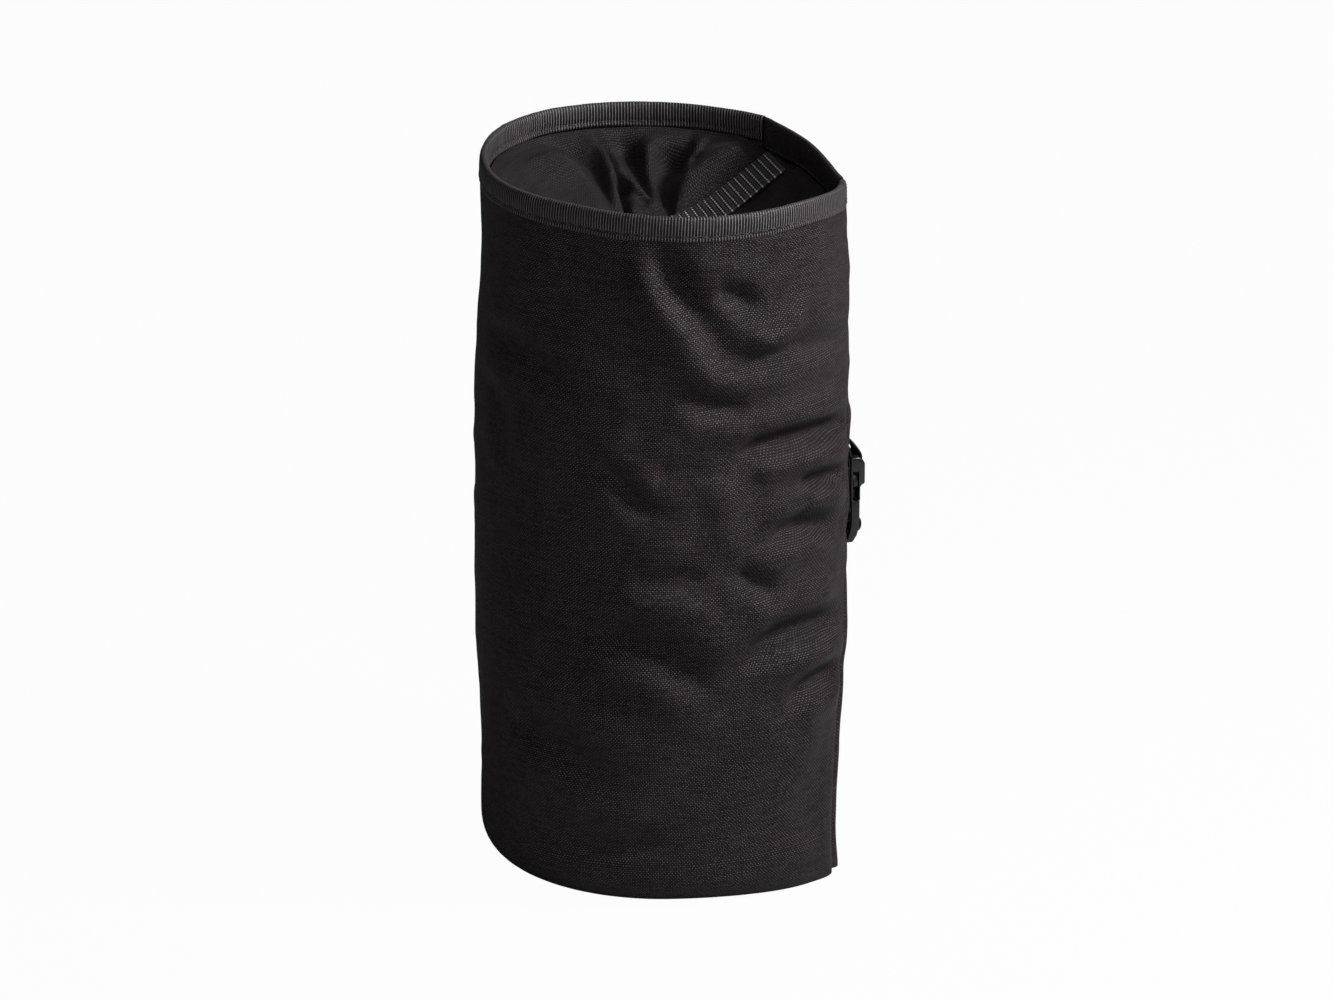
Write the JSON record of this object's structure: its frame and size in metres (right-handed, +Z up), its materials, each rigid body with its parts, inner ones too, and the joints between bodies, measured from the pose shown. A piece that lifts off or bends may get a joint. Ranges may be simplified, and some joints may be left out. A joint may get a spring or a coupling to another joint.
{
  "type": "rope storage bag",
  "caption": "Upright soft rope bag with a bound rim, a gathered drawcord collar pushed down inside, a flat base and a buckled webbing strap on its back.",
  "frame": {"origin": "on the floor, at the middle of the bag's base", "axes": "+Z up to the mouth, +Y to the back panel that carries the strap and buckle, +X to the bag's right side seen from behind the front"},
  "size_m": [0.2352, 0.2376, 0.435],
  "materials": {
    "body_cloth": "matte",
    "collar_cloth": "satin",
    "binding_tape": "matte",
    "ribbed_webbing": "matte",
    "strap_webbing": "matte",
    "cord": "matte",
    "black_plastic": "satin",
    "eyelet_metal": "satin"
  },
  "bodies": {
    "bag": {"body_panel": "body_cloth", "back_panel": "body_cloth", "base_panel": "body_cloth", "back_facing": "body_cloth", "mouth_binding": "binding_tape", "side_seam_binding_left": "binding_tape", "side_seam_binding_right": "binding_tape", "base_seam_binding": "binding_tape", "collar": "collar_cloth", "rope_end_strap": "ribbed_webbing", "upper_strap": "strap_webbing", "lower_strap": "strap_webbing", "upper_strap_patch": "body_cloth", "lower_strap_patch": "body_cloth", "buckle_socket": "black_plastic"},
    "collar_hem": {"collar_casing": "collar_cloth", "drawcord": "cord", "drawcord_knot": "cord", "cord_eyelet_left": "eyelet_metal", "cord_eyelet_right": "eyelet_metal", "cord_lock_spring": "eyelet_metal", "cord_lock_barrel": "black_plastic"},
    "cord_lock_button": {"cord_lock_plunger": "black_plastic"},
    "plug": {"buckle_plug": "black_plastic"},
    "left_prong": {"prong_left": "black_plastic"},
    "right_prong": {"prong_right": "black_plastic"}
  },
  "joints": [
    {"name": "collar_lift", "type": "slide", "parent": "bag", "child": "collar_hem", "axis": [0, 0, 1], "range_m": [0, 0.18], "deforming": ["collar", "rope_end_strap"]},
    {"name": "cord_lock_press", "type": "slide", "parent": "collar_hem", "child": "cord_lock_button", "axis": [0.5736, 0.8192, 0], "range_m": [0, 0.003], "stiffness_N_per_m": 300, "springref_m": -0.002, "deforming": ["cord_lock_spring"]},
    {"name": "plug_slide", "type": "slide", "parent": "bag", "child": "plug", "axis": [0, 0, -1], "range_m": [0, 0.024], "deforming": ["lower_strap"]},
    {"name": "left_prong_press", "type": "hinge", "parent": "plug", "child": "left_prong", "pos_m": [-0.0073, 0.1175, 0.2128], "axis": [0, 1, 0], "range_deg": [0, 8], "stiffness_Nm_per_rad": 0.05},
    {"name": "right_prong_press", "type": "hinge", "parent": "plug", "child": "right_prong", "pos_m": [0.0073, 0.1175, 0.2128], "axis": [0, 1, 0], "range_deg": [-8, 0], "stiffness_Nm_per_rad": 0.05}
  ],
  "couplings": [
    {"joint": "right_prong_press", "follows": "left_prong_press", "ratio": -1}
  ]
}
